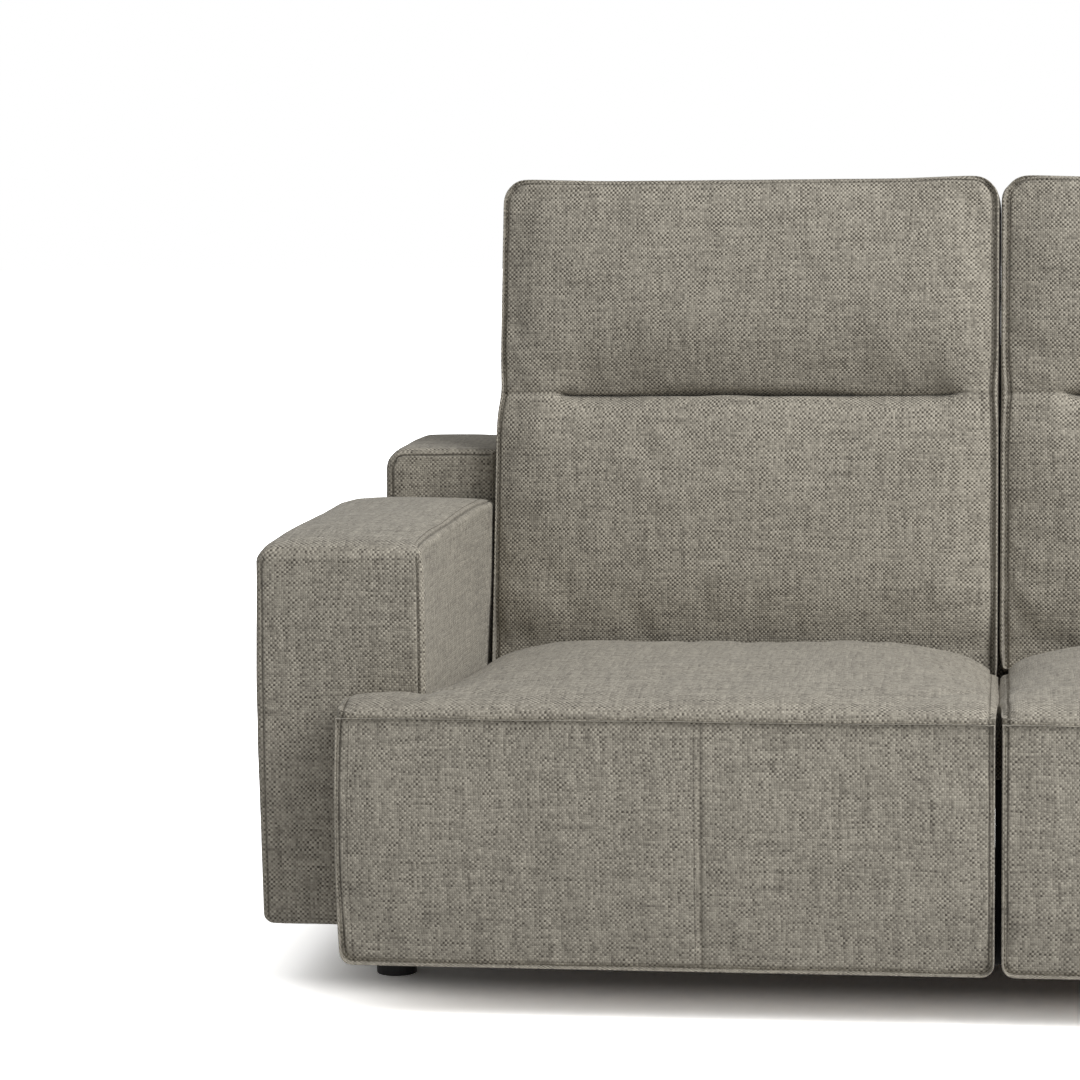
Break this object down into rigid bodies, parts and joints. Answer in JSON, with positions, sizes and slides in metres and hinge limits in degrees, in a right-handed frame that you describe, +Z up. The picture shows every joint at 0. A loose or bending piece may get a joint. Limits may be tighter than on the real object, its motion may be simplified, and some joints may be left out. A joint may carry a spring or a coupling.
{
  "type": "reclining sofa",
  "caption": "Upholstered three-seat reclining sofa with footrests, leaning backs, tilting headrests and a middle back that folds down into a console with cup wells.",
  "frame": {"origin": "on the floor, under the middle of the sofa's width and depth", "axes": "+X to the right as seen from the front, +Y to the rear, +Z up"},
  "size_m": [2.4454, 0.953, 1.0204],
  "materials": {
    "tweed": "matte",
    "plywood": "matte",
    "steel": "satin",
    "black_plastic": "matte",
    "feet_plastic": "matte",
    "tray": "satin",
    "cup_steel": "satin"
  },
  "bodies": {
    "root": {"left_arm": "tweed", "left_back_wing": "tweed", "left_switch_plate": "black_plastic", "foot_front_left": "feet_plastic", "foot_rear_left": "feet_plastic", "foot_middle_front_left": "feet_plastic", "foot_middle_rear_left": "feet_plastic", "right_arm": "tweed", "right_back_wing": "tweed", "right_switch_plate": "black_plastic", "foot_front_right": "feet_plastic", "foot_rear_right": "feet_plastic", "foot_middle_front_right": "feet_plastic", "foot_middle_rear_right": "feet_plastic", "rear_panel": "tweed", "power_inlet": "black_plastic", "base_frame": "steel", "console_seat_cushion": "tweed", "console_seat_frame": "plywood", "console_front_panel": "tweed", "console_back_shell": "tweed"},
    "left_seat": {"left_seat_cushion": "tweed", "left_seat_frame": "plywood", "left_footrest_actuator": "black_plastic"},
    "left_back": {"left_back_frame": "plywood", "left_back_cushion": "tweed", "left_back_cover": "tweed"},
    "left_headrest": {"left_headrest_frame": "plywood", "left_headrest_cushion": "tweed", "left_headrest_cover": "tweed"},
    "left_drive": {"left_drive_block": "steel"},
    "left_rear_link": {"left_rear_links": "steel"},
    "left_front_link": {"left_front_links": "steel"},
    "left_footrest": {"left_footrest_board": "plywood", "left_footrest_pad": "tweed"},
    "left_recline_switch": {"left_recline_rocker": "black_plastic"},
    "left_headrest_switch": {"left_headrest_rocker": "black_plastic"},
    "right_seat": {"right_seat_cushion": "tweed", "right_seat_frame": "plywood", "right_footrest_actuator": "black_plastic"},
    "right_back": {"right_back_frame": "plywood", "right_back_cushion": "tweed", "right_back_cover": "tweed"},
    "right_headrest": {"right_headrest_frame": "plywood", "right_headrest_cushion": "tweed", "right_headrest_cover": "tweed"},
    "right_drive": {"right_drive_block": "steel"},
    "right_rear_link": {"right_rear_links": "steel"},
    "right_front_link": {"right_front_links": "steel"},
    "right_footrest": {"right_footrest_board": "plywood", "right_footrest_pad": "tweed"},
    "right_recline_switch": {"right_recline_rocker": "black_plastic"},
    "right_headrest_switch": {"right_headrest_rocker": "black_plastic"},
    "console": {"console_lower_cushion": "tweed", "console_upper_cushion": "tweed", "console_tray": "tray", "console_cup_left": "cup_steel", "console_cup_right": "cup_steel", "console_usb_module": "black_plastic"}
  },
  "joints": [
    {"name": "left_seat_glide", "type": "slide", "parent": "root", "child": "left_seat", "axis": [0, -1, 0], "range_m": [0, 0.18]},
    {"name": "left_back_recline", "type": "hinge", "parent": "left_seat", "child": "left_back", "pos_m": [-0.66, 0.1976, 0.2903], "axis": [-1, 0, 0], "range_deg": [0, 27]},
    {"name": "left_headrest_tilt", "type": "hinge", "parent": "left_back", "child": "left_headrest", "pos_m": [-0.66, 0.23643, 0.71347], "axis": [1, 0, 0], "range_deg": [0, 35]},
    {"name": "left_footrest_open", "type": "hinge", "parent": "left_seat", "child": "left_rear_link", "pos_m": [-0.66, -0.33149, 0.2553], "axis": [-1, 0, 0], "range_deg": [0, 116.87]},
    {"name": "left_front_link_turn", "type": "hinge", "parent": "left_rear_link", "child": "left_front_link", "pos_m": [-0.66, -0.21683, 0.1038], "axis": [1, 0, 0], "range_deg": [0, 122.42]},
    {"name": "left_footrest_turn", "type": "hinge", "parent": "left_front_link", "child": "left_footrest", "pos_m": [-0.66, -0.38149, 0.1986], "axis": [-1, 0, 0], "range_deg": [0, 93.54]},
    {"name": "left_drive_slide", "type": "slide", "parent": "left_seat", "child": "left_drive", "axis": [0, -1, 0], "range_m": [0, 0.0951]},
    {"name": "left_recline_rock", "type": "hinge", "parent": "root", "child": "left_recline_switch", "pos_m": [-1.2197, -0.25749, 0.455], "axis": [0, 1, 0], "range_deg": [-6, 6], "stiffness_Nm_per_rad": 0.3},
    {"name": "left_headrest_rock", "type": "hinge", "parent": "root", "child": "left_headrest_switch", "pos_m": [-1.2197, -0.22949, 0.455], "axis": [0, 1, 0], "range_deg": [-6, 6], "stiffness_Nm_per_rad": 0.3},
    {"name": "right_seat_glide", "type": "slide", "parent": "root", "child": "right_seat", "axis": [0, -1, 0], "range_m": [0, 0.18]},
    {"name": "right_back_recline", "type": "hinge", "parent": "right_seat", "child": "right_back", "pos_m": [0.66, 0.1976, 0.2903], "axis": [-1, 0, 0], "range_deg": [0, 27]},
    {"name": "right_headrest_tilt", "type": "hinge", "parent": "right_back", "child": "right_headrest", "pos_m": [0.66, 0.23643, 0.71347], "axis": [1, 0, 0], "range_deg": [0, 35]},
    {"name": "right_footrest_open", "type": "hinge", "parent": "right_seat", "child": "right_rear_link", "pos_m": [0.66, -0.33149, 0.2553], "axis": [-1, 0, 0], "range_deg": [0, 116.87]},
    {"name": "right_front_link_turn", "type": "hinge", "parent": "right_rear_link", "child": "right_front_link", "pos_m": [0.66, -0.21683, 0.1038], "axis": [1, 0, 0], "range_deg": [0, 122.42]},
    {"name": "right_footrest_turn", "type": "hinge", "parent": "right_front_link", "child": "right_footrest", "pos_m": [0.66, -0.38149, 0.1986], "axis": [-1, 0, 0], "range_deg": [0, 93.54]},
    {"name": "right_drive_slide", "type": "slide", "parent": "right_seat", "child": "right_drive", "axis": [0, -1, 0], "range_m": [0, 0.0951]},
    {"name": "right_recline_rock", "type": "hinge", "parent": "root", "child": "right_recline_switch", "pos_m": [1.2197, -0.25749, 0.455], "axis": [0, 1, 0], "range_deg": [-6, 6], "stiffness_Nm_per_rad": 0.3},
    {"name": "right_headrest_rock", "type": "hinge", "parent": "root", "child": "right_headrest_switch", "pos_m": [1.2197, -0.22949, 0.455], "axis": [0, 1, 0], "range_deg": [-6, 6], "stiffness_Nm_per_rad": 0.3},
    {"name": "console_fold", "type": "hinge", "parent": "root", "child": "console", "pos_m": [0, 0.16322, 0.46527], "axis": [1, 0, 0], "range_deg": [0, 102]}
  ],
  "couplings": [
    {"joint": "left_back_recline", "follows": "left_seat_glide", "rad_per_m": 2.6179},
    {"joint": "left_front_link_turn", "follows": "left_footrest_open", "ratio": 1.0473},
    {"joint": "left_footrest_turn", "follows": "left_footrest_open", "ratio": 0.80028},
    {"joint": "left_drive_slide", "follows": "left_footrest_open", "m_per_rad": 0.046573},
    {"joint": "right_back_recline", "follows": "right_seat_glide", "rad_per_m": 2.6179},
    {"joint": "right_front_link_turn", "follows": "right_footrest_open", "ratio": 1.0473},
    {"joint": "right_footrest_turn", "follows": "right_footrest_open", "ratio": 0.80028},
    {"joint": "right_drive_slide", "follows": "right_footrest_open", "m_per_rad": 0.046573}
  ]
}
